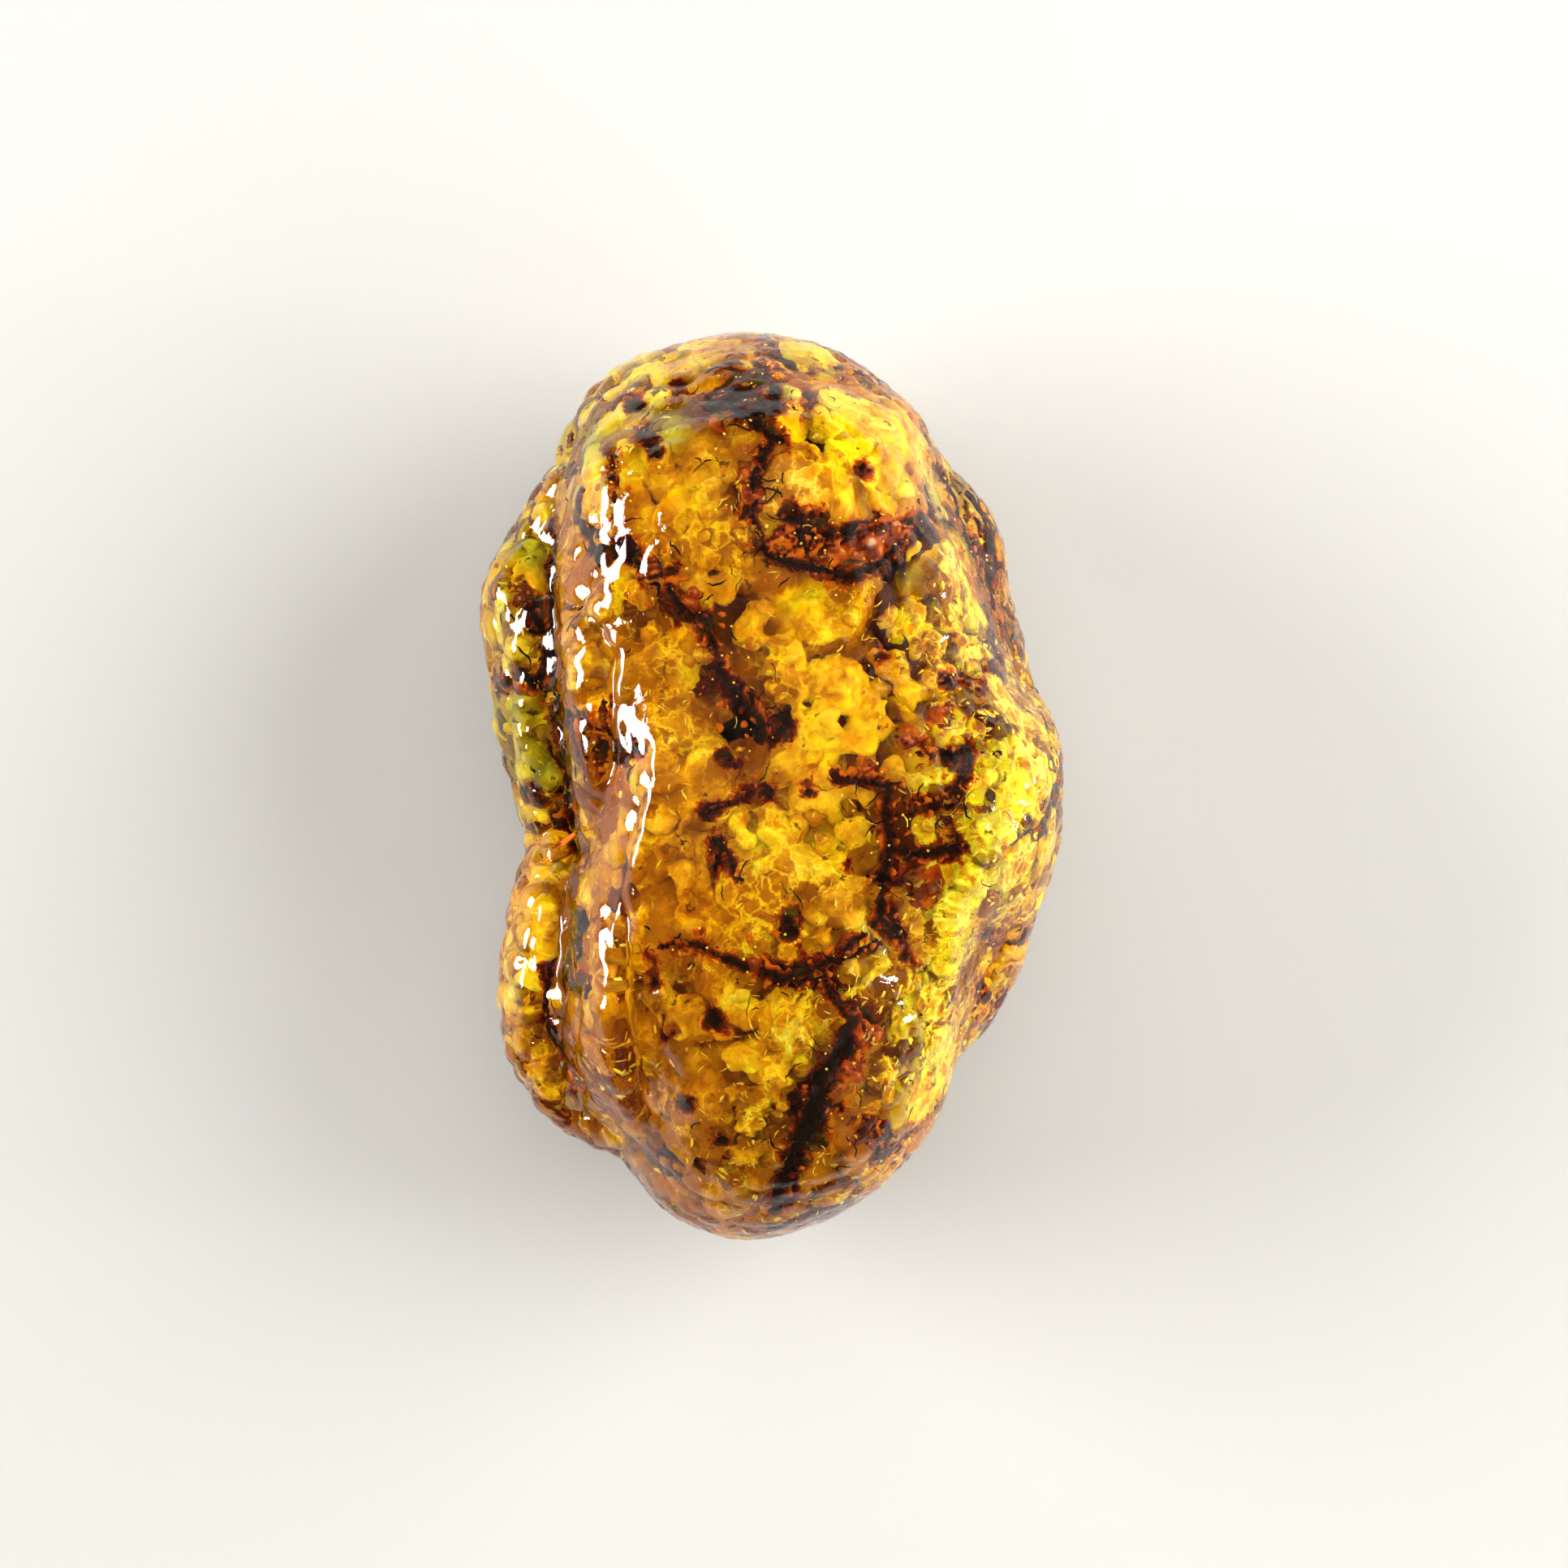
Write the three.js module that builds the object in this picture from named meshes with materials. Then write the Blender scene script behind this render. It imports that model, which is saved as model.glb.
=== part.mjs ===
// A rough amber nugget: one piece of fossil resin, about the length of a thumb's two end joints.
// Millimetres, +Z up. It lies on its broad back with its clearest face up, long axis along Y.
// The origin is at the middle of its footprint box, on the surface it lies on.
//
// The body starts as a unit sphere. The outline seen from above gives its girth, a bulged
// quarter-round gives the swell from the rim to the crown and to the back, and then lobes,
// ridges and folds push the skin out or in.
import * as THREE from "three";
import { ImprovedNoise } from "three/addons/math/ImprovedNoise.js";
import { mergeVertices } from "three/addons/utils/BufferGeometryUtils.js";

const LENGTH = 40;
const WIDTH = 25.5;
const CROWN_RISE = 10.2; // from the rim, where the body is widest, up to the crown
const BACK_DROP = 8.6; // from the rim down to the back, before it is worn flat
const REST_CUT = 0.7; // how much of the back the flat resting patch takes away
const GIRTH_BULGE = 0.16; // 0 is an ellipsoid, 0.4 nearly a pillow
const SWELL_BULGE = 0.12;
const SMOOTH_ROUNDS = 2;
const UPRIGHT = 0.8; // how much of a fold cuts straight down, and not along the slope
const CROWN_FADE = 0.72; // folds deepen from the rim up to this share of the rise
const SPHERE_DETAIL = 20; // 20 * (detail + 1)^2 triangles
const MERGE_GAP = 1e-5; // on the unit sphere
const SMOOTH_SHARE = 0.5; // how far each round moves a vertex toward its neighbours' mean
const OUTLINE_SAMPLES = 16; // points on the smooth curve for each point of the outline
const BACK_START = 0.1; // below the rim, creases of the back fade in from this share of the way
const BACK_FULL = 0.4; // and are at full depth from this one

// Waves that run all over the skin: how long and how high they are, and where the noise starts.
const BROAD_WAVE = { size: 6.5, height: 0.75, start: new THREE.Vector3(3.1, 7.7, 0) };
const FINE_WAVE = { size: 2.4, height: 0.22, start: new THREE.Vector3(11.3, 0, 5.9) };
const RIM_CALM = 0.6; // share of the broad wave that the rim loses, so that the outline holds

// The outline from above, anticlockwise from the right-hand bulge.
const OUTLINE = [
  [12.7, -0.3], [12.55, 1.7], [12.0, 3.7], [11.0, 5.9], [10.3, 8.2], [10.1, 10.2], [9.4, 12.4],
  [8.0, 14.3], [6.6, 16.3], [4.9, 17.9], [2.9, 19.2], [0.8, 19.95], [-2.6, 19.8], [-5.6, 19.0],
  [-8.0, 17.4], [-9.2, 15.7], [-9.8, 13.9], [-11.0, 11.8], [-12.3, 9.3], [-12.75, 7.6],
  [-12.3, 5.0], [-11.9, 1.8], [-11.15, -0.6], [-10.95, -2.8], [-11.45, -5.6], [-11.7, -9.4],
  [-11.35, -12.1], [-10.0, -14.4], [-8.5, -15.7], [-6.75, -16.3], [-6.1, -17.5], [-4.6, -18.9],
  [-2.3, -19.85], [-0.4, -20.0], [1.8, -19.4], [4.8, -17.6], [7.1, -14.9], [8.2, -13.1],
  [8.6, -12.1], [9.7, -10.8], [10.6, -8.9], [11.3, -6.5], [11.9, -4.2], [12.45, -2.0],
];

// How far above or below the mean rim height the widest line runs, by compass angle.
const RIM_HEIGHT = BACK_DROP - REST_CUT;
const RIM_WAVES = [
  { angle: 175, spread: 60, rise: -1.6 }, // the two left lobes sit low, behind the body
  { angle: 40, spread: 24, rise: -1.8 }, // so does the upper right lobe
  { angle: -47, spread: 16, rise: -2.0 }, // and the lower right one
  { angle: -5, spread: 26, rise: 1.3 }, // the right-hand bulge stands forward
];

// Folds on the crown side, as lines seen from above. Each is a groove, and the skin to the
// right of the line's direction steps down by its shelf.
const FOLDS = [
  { // parts the left lobes, which lie low and behind, from the body
    line: [[-9.7, 14.8], [-9.5, 11.2], [-9.35, 7.6], [-9.25, 3.2], [-8.85, -0.6], [-8.4, -3.4],
      [-9.1, -7.4], [-9.5, -10.6], [-8.8, -13.6], [-7.1, -16.6]],
    width: 1.15, depth: 3.0, shelf: 2.6,
  },
  { // a long crease between the body's left strip and its face
    line: [[-8.0, 10.4], [-7.0, 6.6], [-6.6, 3.4], [-6.5, 0.4], [-6.9, -2.2], [-6.6, -4.4],
      [-5.9, -7.2], [-5.5, -10.4], [-5.2, -13.8], [-5.4, -16.4]],
    width: 0.9, depth: 0.9, shelf: 0.6,
  },
  { // the waist between the upper and lower left lobes
    line: [[-12.2, -1.6], [-10.2, -2.2], [-8.8, -2.6]],
    width: 1.3, depth: 1.6, shelf: 0,
  },
  { // parts the upper right lobe from the body
    line: [[10.9, 5.0], [9.8, 7.2], [9.0, 9.0], [8.2, 10.8], [7.6, 13.0], [7.5, 15.0]],
    width: 1.0, depth: 1.6, shelf: 2.2,
  },
  { // a short fold below the top knob
    line: [[6.4, 16.7], [5.0, 17.2], [3.2, 17.6], [1.4, 17.2]],
    width: 0.9, depth: 0.7, shelf: 0.9,
  },
  { // parts the lower right lobe from the body
    line: [[8.9, -12.8], [8.5, -11.2], [8.5, -9.4], [8.9, -7.6], [10.0, -6.4], [11.8, -6.2]],
    width: 1.0, depth: 1.6, shelf: 2.0,
  },
];

const RIDGES = [
  { line: [[-8.0, 14.6], [-8.1, 11.0], [-7.8, 8.0], [-7.9, 4.0], [-7.7, 0.4], [-7.5, -2.6]],
    width: 1.1, height: 0.8 },
  { line: [[-8.0, -5.6], [-7.8, -9.0], [-7.1, -12.6], [-6.3, -15.6]], width: 1.1, height: 0.5 },
  { line: [[-4.4, 1.3], [-4.9, -0.8], [-5.6, -3.2], [-6.0, -5.0]], width: 1.0, height: 0.8 },
  { line: [[8.7, -2.0], [8.4, -5.0], [7.7, -8.4], [7.5, -11.8]], width: 1.1, height: 0.5 },
];

// Broad swells: where they are seen from above, their radius, and how far they stand out.
const LOBES = [
  { at: [-11.2, 6.4], radius: 3.6, height: 1.3 },
  { at: [-10.6, -8.6], radius: 3.8, height: 1.3 },
  { at: [10.6, -0.8], radius: 3.6, height: 0.9 },
  { at: [4.2, 13.6], radius: 3.6, height: 0.6 },
  { at: [-2.0, 17.0], radius: 3.0, height: 0.4 },
  { at: [0.5, 4.0], radius: 5.0, height: -0.7 }, // the face is a little hollow here
  { at: [1.0, -11.0], radius: 4.5, height: 0.5 },
];

// Grooves that cross the rim from crown to back, by compass angle.
const RIM_NOTCHES = [
  { angle: 122, spread: 5, depth: 0.4 },
  { angle: 193, spread: 6, depth: 0.4 },
  { angle: 248, spread: 4, depth: 0.5 },
  { angle: -56, spread: 4, depth: 0.5 },
  { angle: 62, spread: 5, depth: 0.5 },
  { angle: 20, spread: 5, depth: 0.6 },
];

// Two creases on the back, so that it reads as a broken, tumbled surface from below.
const BACK_FISSURES = [
  { line: [[-9.0, 10.0], [-4.5, 8.0], [0.5, 8.8], [5.0, 7.0], [10.0, 8.0]], width: 0.9, depth: 0.9 },
  { line: [[-10.5, -8.0], [-6.0, -9.0], [-1.0, -12.5], [4.0, -13.5]], width: 0.8, depth: 0.8 },
];

const degrees = THREE.MathUtils.degToRad;
const noise = new ImprovedNoise();

// Radius of the outline at any compass angle, from a smooth closed curve through its points.
function outlineRadius() {
  const points = OUTLINE.map(([x, y]) => new THREE.Vector3(x, y, 0));
  const curve = new THREE.CatmullRomCurve3(points, true, "centripetal");
  const turn = 2 * Math.PI;
  const samples = curve
    .getPoints(OUTLINE.length * OUTLINE_SAMPLES)
    .slice(1)
    .map((p) => ({ angle: (Math.atan2(p.y, p.x) + turn) % turn, radius: Math.hypot(p.x, p.y) }))
    .sort((a, b) => a.angle - b.angle);
  return (angle) => {
    const wanted = (angle + turn) % turn;
    const next = Math.max(samples.findIndex((s) => s.angle > wanted), 0);
    const before = samples[(next + samples.length - 1) % samples.length];
    const after = samples[next];
    const span = (after.angle - before.angle + turn) % turn;
    const share = ((wanted - before.angle + turn) % turn) / span;
    return THREE.MathUtils.lerp(before.radius, after.radius, share);
  };
}

// A bell that is 1 at the given compass angle and fades over its spread, in degrees.
function angleBell(angle, { angle: centre, spread }) {
  const away = Math.atan2(Math.sin(angle - degrees(centre)), Math.cos(angle - degrees(centre)));
  return Math.exp(-((away / degrees(spread)) ** 2));
}

// Distance from (x, y) to the nearest stretch of a line, above zero to the right of its direction.
function sideways(line, x, y) {
  let nearest = Infinity;
  for (let i = 1; i < line.length; i++) {
    const [ax, ay] = line[i - 1];
    const [alongX, alongY] = [line[i][0] - ax, line[i][1] - ay];
    const share = ((x - ax) * alongX + (y - ay) * alongY) / (alongX ** 2 + alongY ** 2);
    const t = THREE.MathUtils.clamp(share, 0, 1);
    const away = Math.hypot(x - ax - t * alongX, y - ay - t * alongY);
    if (away >= Math.abs(nearest)) continue;
    nearest = away * (Math.sign(alongY * (x - ax) - alongX * (y - ay)) || 1);
  }
  return nearest;
}

const bell = (away, width) => Math.exp(-((away / width) ** 2));

// How far the crown stands out (or, below zero, is sunk) at a point of the plain body.
function crownRelief(p) {
  let out = 0;
  for (const { line, width, depth, shelf } of FOLDS) {
    const away = sideways(line, p.x, p.y);
    out -= depth * bell(away, width) + shelf * THREE.MathUtils.smoothstep(away, -width, width);
  }
  for (const r of RIDGES) out += r.height * bell(sideways(r.line, p.x, p.y), r.width);
  for (const l of LOBES) out += l.height * bell(Math.hypot(p.x - l.at[0], p.y - l.at[1]), l.radius);
  return out;
}

function wave(p, { size, height, start }) {
  return height * noise.noise(p.x / size + start.x, p.y / size + start.y, p.z / size + start.z);
}

// The same for the rim and the back, and the waves that run all over.
function girthRelief(p, angle, upness) {
  const onBack = THREE.MathUtils.smoothstep(-upness, BACK_START, BACK_FULL);
  const onRim = 1 - upness * upness;
  let out = 0;
  for (const f of BACK_FISSURES) out -= onBack * f.depth * bell(sideways(f.line, p.x, p.y), f.width);
  for (const n of RIM_NOTCHES) out -= onRim * n.depth * angleBell(angle, n);
  return out + wave(p, BROAD_WAVE) * (1 - RIM_CALM * onRim) + wave(p, FINE_WAVE);
}

// Moves each vertex part of the way to the mean of its neighbours.
function smoothed(geometry, rounds) {
  const position = geometry.getAttribute("position");
  const neighbours = Array.from({ length: position.count }, () => new Set());
  const corners = geometry.index.array;
  for (let i = 0; i < corners.length; i += 3) {
    for (const [a, b] of [[0, 1], [1, 2], [2, 0]]) {
      neighbours[corners[i + a]].add(corners[i + b]);
      neighbours[corners[i + b]].add(corners[i + a]);
    }
  }
  const points = Array.from({ length: position.count }, (_, i) =>
    new THREE.Vector3().fromBufferAttribute(position, i));
  for (let round = 0; round < rounds; round++) {
    const means = neighbours.map((near) => {
      const mean = new THREE.Vector3();
      for (const n of near) mean.add(points[n]);
      return mean.divideScalar(near.size);
    });
    points.forEach((p, i) => p.lerp(means[i], SMOOTH_SHARE));
  }
  points.forEach((p, i) => position.setXYZ(i, p.x, p.y, p.z));
}

// The skin as one closed mesh, shared vertices merged.
function nuggetGeometry() {
  const radiusAt = outlineRadius();
  const geometry = new THREE.IcosahedronGeometry(1, SPHERE_DETAIL);
  geometry.deleteAttribute("normal");
  geometry.deleteAttribute("uv");
  const merged = mergeVertices(geometry, MERGE_GAP);
  const position = merged.getAttribute("position");
  const p = new THREE.Vector3();
  const slope = new THREE.Vector3();
  for (let i = 0; i < position.count; i++) {
    p.fromBufferAttribute(position, i);
    const angle = Math.atan2(p.y, p.x);
    const girth = Math.hypot(p.x, p.y);
    const upness = p.z;
    const reach = girth * (1 + GIRTH_BULGE * (1 - girth * girth)) * radiusAt(angle);
    const lift = upness * (1 + SWELL_BULGE * (1 - upness * upness));
    const rim = RIM_WAVES.reduce((z, w) => z + w.rise * angleBell(angle, w), RIM_HEIGHT);
    const rise = lift > 0 ? CROWN_RISE : BACK_DROP;
    const rimShare = 1 - upness * upness;
    p.set(reach * Math.cos(angle), reach * Math.sin(angle), 0);
    p.z = RIM_HEIGHT + (rim - RIM_HEIGHT) * rimShare + lift * rise;
    slope.set(p.x / (WIDTH / 2) ** 2, p.y / (LENGTH / 2) ** 2, (p.z - rim) / CROWN_RISE ** 2);
    const onCrown = THREE.MathUtils.smoothstep(upness, 0, CROWN_FADE);
    const sunk = onCrown * crownRelief(p);
    p.addScaledVector(slope.normalize(), girthRelief(p, angle, upness) + (1 - UPRIGHT) * sunk);
    p.z += UPRIGHT * sunk;
    position.setXYZ(i, p.x, p.y, p.z);
  }
  smoothed(merged, SMOOTH_ROUNDS);
  for (let i = 0; i < position.count; i++) position.setZ(i, Math.max(position.getZ(i), 0));
  return centredOnFootprint(merged);
}

// Moves and stretches the mesh a little, so that its box has the stated length and width.
function centredOnFootprint(geometry) {
  geometry.computeBoundingBox();
  const { min, max } = geometry.boundingBox;
  geometry.translate(-(min.x + max.x) / 2, -(min.y + max.y) / 2, 0);
  geometry.scale(WIDTH / (max.x - min.x), LENGTH / (max.y - min.y), 1);
  geometry.computeVertexNormals();
  return geometry;
}

const resin = new THREE.MeshStandardMaterial({ color: 0xc98a14, roughness: 0.12, metalness: 0 });
const nugget = new THREE.Mesh(nuggetGeometry(), resin);
nugget.name = "amber_nugget";

const part = new THREE.Group();
part.add(nugget);

export default part;
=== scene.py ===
import math
import random

import bmesh
import bpy
from mathutils import Matrix, Vector, noise
from mathutils.bvhtree import BVHTree
from mathutils.kdtree import KDTree


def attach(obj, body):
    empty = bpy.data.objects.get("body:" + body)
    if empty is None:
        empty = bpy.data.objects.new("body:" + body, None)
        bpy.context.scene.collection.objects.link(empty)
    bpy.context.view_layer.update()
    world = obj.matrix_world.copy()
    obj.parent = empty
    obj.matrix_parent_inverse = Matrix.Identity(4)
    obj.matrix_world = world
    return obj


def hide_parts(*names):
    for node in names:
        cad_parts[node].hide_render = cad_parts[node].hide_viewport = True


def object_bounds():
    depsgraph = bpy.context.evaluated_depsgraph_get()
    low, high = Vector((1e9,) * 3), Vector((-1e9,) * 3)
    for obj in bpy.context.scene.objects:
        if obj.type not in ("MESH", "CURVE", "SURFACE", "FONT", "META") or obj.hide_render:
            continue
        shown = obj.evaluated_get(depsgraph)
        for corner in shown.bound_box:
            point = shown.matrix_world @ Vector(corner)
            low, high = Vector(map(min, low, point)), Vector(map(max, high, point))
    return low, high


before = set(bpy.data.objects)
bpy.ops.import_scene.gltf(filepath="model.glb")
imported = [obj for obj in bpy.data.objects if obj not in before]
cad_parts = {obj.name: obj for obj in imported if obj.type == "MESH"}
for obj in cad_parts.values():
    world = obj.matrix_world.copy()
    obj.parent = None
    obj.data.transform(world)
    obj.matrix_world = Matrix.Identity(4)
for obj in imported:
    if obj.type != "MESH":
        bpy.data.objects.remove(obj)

# Rough amber, lying on its broad back. The skin is clear yellow resin. Sealed in it are milky
# clots with deeper clouds behind them, rusty seams with crumbs and hair cracks, red stained
# lumps, and stress cracks and bubbles that catch the light.

mm = 0.001
body = "root"
node = "amber_nugget"
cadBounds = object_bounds()
scene = bpy.context.scene
print("frame loaded")


def linear(hexColour):
    shares = [int(hexColour[i:i + 2], 16) / 255 for i in (1, 3, 5)]
    return tuple(c / 12.92 if c <= 0.04045 else ((c + 0.055) / 1.055) ** 2.4 for c in shares) + (1.0,)


# Adds a node: settings go to the input or the property of that name, links to the inputs.
def addNode(tree, kind, settings=None, links=None):
    new = tree.nodes.new(kind)
    for name, value in (settings or {}).items():
        if name == "stops":
            ramp = new.color_ramp.elements
            while len(ramp) < len(value):
                ramp.new(1.0)
            for element, (place, colour) in zip(ramp, value):
                element.position = place
                element.color = colour
        elif isinstance(name, int) or name in new.inputs:
            new.inputs[name].default_value = value
        else:
            setattr(new, name, value)
    for name, source in (links or {}).items():
        tree.links.new(source, new.inputs[name])
    return new


def newMaterial(name):
    material = bpy.data.materials.new(name)
    material.use_nodes = True
    material.node_tree.nodes.clear()
    return material


# How many times a pattern of this many millimetres fits in a metre.
def repeatsOf(sizeInMm):
    return 1 / (sizeInMm * mm)


def smoothStep(low, high, x):
    t = min(max((x - low) / (high - low), 0.0), 1.0)
    return t * t * (3 - 2 * t)


# How far (x, y) is inside spots of x, y, radius and, where there is a fourth number, strength.
# Each spot counts fully at its middle and falls off round it.
def within(spots, x, y):
    total = 0
    for spot in spots:
        bell = math.exp(-((x - spot[0]) ** 2 + (y - spot[1]) ** 2) / spot[2] ** 2)
        total += spot[3] * bell if len(spot) > 3 else bell
    return total


def fromBmesh(bm, name, material=None):
    mesh = bpy.data.meshes.new(name)
    bm.to_mesh(mesh)
    bm.free()
    piece = bpy.data.objects.new(name, mesh)
    scene.collection.objects.link(piece)
    if material:
        mesh.materials.append(material)
    mesh.polygons.foreach_set("use_smooth", [True] * len(mesh.polygons))
    return piece


# Fuses overlapping lumps into one closed skin, on a grid of this many millimetres, and hands
# it back as a bmesh.
def fused(bm, voxel):
    lumps = fromBmesh(bm, "lumps")
    remesh = lumps.modifiers.new("fuse", "REMESH")
    remesh.mode = "VOXEL"
    remesh.voxel_size = voxel * mm
    graph = bpy.context.evaluated_depsgraph_get()
    whole = bmesh.new()
    whole.from_mesh(lumps.evaluated_get(graph).to_mesh())
    bpy.data.objects.remove(lumps)
    return whole


scratch = bpy.data.meshes.new("scratch")


# Adds one small shape to a big one. Operators on a small bmesh are much quicker.
def join(whole, small):
    small.to_mesh(scratch)
    small.free()
    whole.from_mesh(scratch)


# Moves every vertex along its normal, by what outAt gives for it in millimetres.
def pushOut(bm, outAt):
    bm.normal_update()
    moves = [v.normal * outAt(v) * mm for v in bm.verts]
    for v, move in zip(bm.verts, moves):
        v.co += move


def treeOf(points):
    tree = KDTree(len(points))
    for i, point in enumerate(points):
        tree.insert(point, i)
    tree.balance()
    return tree


# A random place in the endless noise, so that no two lumps come out alike.
def anywhere(rng):
    return Vector((rng.random(), rng.random(), rng.random())) * 50


def settle(piece):
    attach(piece, body)
    return piece


# Places and sizes below are in millimetres, and places are seen from above.

# Rusty seams: a line, the seam's half width at its start and end, and how deep it goes.
seams = [
    {"line": [(-0.2, 19.4), (-0.4, 18.6), (-0.2, 17.6), (0.3, 16.6), (0.1, 15.8)],
     "half": (0.14, 0.24), "deep": 3.0},
    {"line": [(-4.0, 16.9), (-3.3, 16.2), (-2.2, 16.2), (-1.4, 16.8), (-0.3, 16.2)],
     "half": (0.18, 0.34), "deep": 2.2},
    {"line": [(-2.4, 15.9), (-1.2, 15.7), (-0.3, 15.0), (0.5, 14.5)],
     "half": (0.26, 0.26), "deep": 3.0},
    {"line": [(0.2, 14.6), (-0.3, 13.8), (-0.7, 12.9), (-0.6, 12.0), (-0.8, 11.2)],
     "half": (0.16, 0.16), "deep": 3.4},
    {"line": [(-0.8, 11.2), (-0.5, 10.5), (-0.1, 9.7), (1.3, 9.2), (3.3, 8.8)],
     "half": (0.2, 0.24), "deep": 3.0},
    {"line": [(3.3, 8.8), (4.6, 9.3), (5.5, 10.3), (5.8, 11.0)], "half": (0.23, 0.13), "deep": 2.6},
    {"line": [(1.2, 10.1), (2.6, 10.4), (4.2, 10.8), (5.7, 11.2)], "half": (0.09, 0.12), "deep": 1.6},
    {"line": [(-0.3, 10.2), (0.5, 10.6), (1.2, 10.2), (0.6, 9.7), (-0.2, 9.8)],
     "half": (0.08, 0.08), "deep": 1.4},
    {"line": [(-4.2, 8.2), (-3.6, 7.4), (-2.7, 6.9), (-2.3, 5.8), (-2.0, 5.1)],
     "half": (0.24, 0.12), "deep": 2.4},
    {"line": [(-2.2, 5.0), (-1.7, 4.2), (-1.0, 3.4), (-0.5, 2.6), (-0.4, 1.9)],
     "half": (0.2, 0.29), "deep": 2.8},
    {"line": [(-1.9, 1.2), (-1.5, 0.8), (-1.2, 0.9)], "half": (0.13, 0.17), "deep": 1.0},
    {"line": [(-2.5, -1.2), (-1.8, -0.9), (-0.9, -0.5)], "half": (0.17, 0.13), "deep": 1.2},
    {"line": [(-2.1, -2.4), (-1.7, -3.2), (-1.2, -4.0)], "half": (0.27, 0.17), "deep": 1.2},
    {"line": [(7.3, 4.5), (8.2, 4.3), (9.0, 3.9)], "half": (0.07, 0.08), "deep": 0.8},
    {"line": [(5.3, 2.0), (6.3, 1.3), (7.4, 1.0), (8.3, 1.4)], "half": (0.08, 0.17), "deep": 1.8},
    {"line": [(8.2, 1.2), (8.0, 0.3), (7.6, -0.5), (6.6, -0.9), (5.6, -0.8)],
     "half": (0.14, 0.07), "deep": 1.6},
    {"line": [(3.0, 0.3), (4.3, 0.1), (5.0, -0.3), (4.9, -0.6)], "half": (0.09, 0.2), "deep": 1.6},
    {"line": [(5.0, 0.0), (4.8, -1.2), (5.1, -2.6), (4.7, -4.0), (4.6, -5.6)],
     "half": (0.16, 0.24), "deep": 4.0},
    {"line": [(5.0, -2.7), (6.5, -2.9), (7.7, -2.6)], "half": (0.2, 0.23), "deep": 2.0},
    {"line": [(0.7, -5.5), (0.8, -6.0)], "half": (0.3, 0.25), "deep": 1.6},
    {"line": [(4.6, -5.6), (3.7, -6.4), (2.7, -7.2), (1.8, -7.8), (0.6, -8.1), (-0.8, -7.7),
              (-2.0, -7.2)], "half": (0.17, 0.21), "deep": 2.6},
    {"line": [(-2.0, -7.2), (-3.0, -6.7), (-3.8, -6.6), (-4.9, -6.9)],
     "half": (0.23, 0.08), "deep": 1.2},
    {"line": [(4.6, -5.6), (5.4, -6.4), (5.8, -7.5)], "half": (0.17, 0.09), "deep": 2.0},
    {"line": [(2.2, -7.8), (2.6, -8.9), (3.3, -9.8)], "half": (0.13, 0.15), "deep": 2.6},
    {"line": [(3.4, -9.9), (2.8, -11.2), (2.1, -12.6), (1.6, -14.0), (0.9, -15.8), (0.2, -17.9)],
     "half": (0.37, 0.31), "deep": 4.5},
    {"line": [(2.1, -12.4), (2.0, -13.6), (1.5, -15.0)], "half": (0.55, 0.41), "deep": 3.0},
    {"line": [(2.1, -13.3), (2.9, -13.6), (3.4, -14.1)], "half": (0.24, 0.12), "deep": 1.6},
    {"line": [(4.3, -14.3), (4.5, -15.2), (4.6, -16.0)], "half": (0.07, 0.17), "deep": 1.6},
    {"line": [(4.6, -16.0), (5.4, -15.5), (6.0, -14.9)], "half": (0.17, 0.09), "deep": 1.4},
    {"line": [(-6.5, 14.0), (-6.7, 13.0), (-6.5, 11.7), (-6.3, 10.6)],
     "half": (0.17, 0.06), "deep": 1.2},
    {"line": [(-6.3, 10.4), (-5.9, 9.7), (-5.3, 9.0)], "half": (0.13, 0.2), "deep": 1.4},
    {"line": [(-5.5, 8.7), (-4.8, 8.8), (-4.1, 9.0)], "half": (0.08, 0.1), "deep": 0.8},
    {"line": [(-9.2, 11.4), (-9.5, 9.6), (-9.5, 7.8), (-9.4, 5.3), (-9.1, 3.1), (-8.9, 1.0),
              (-8.7, -1.2), (-8.3, -3.1)], "half": (0.17, 0.29), "deep": 4.0},
    {"line": [(-10.8, 8.0), (-10.3, 7.3), (-9.9, 6.7)], "half": (0.17, 0.2), "deep": 1.2},
    {"line": [(-10.9, 4.9), (-10.3, 4.4), (-9.9, 4.8)], "half": (0.29, 0.2), "deep": 1.4},
    {"line": [(-8.2, 3.4), (-7.8, 2.2), (-7.7, 1.3)], "half": (0.12, 0.12), "deep": 1.2},
    {"line": [(-8.4, -11.0), (-8.3, -12.4), (-8.0, -13.4)], "half": (0.09, 0.08), "deep": 1.4},
    {"line": [(-9.6, -8.0), (-9.7, -9.6), (-9.3, -11.0)], "half": (0.17, 0.14), "deep": 2.0},
    {"line": [(7.0, 14.0), (7.8, 12.8), (8.3, 11.2), (8.9, 9.6), (9.6, 7.8), (10.5, 6.2)],
     "half": (0.21, 0.12), "deep": 3.0},
    {"line": [(1.6, 17.7), (3.1, 18.1), (4.7, 17.7)], "half": (0.08, 0.17), "deep": 2.0},
    {"line": [(1.0, 16.1), (1.5, 15.6), (1.9, 15.6)], "half": (0.07, 0.06), "deep": 1.0},
    {"line": [(8.7, -6.1), (10.0, -6.4), (11.2, -6.2)], "half": (0.13, 0.14), "deep": 2.0},
    {"line": [(8.7, -6.6), (8.6, -7.8), (9.0, -9.0), (8.9, -10.4)], "half": (0.16, 0.09), "deep": 2.6},
]

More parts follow.
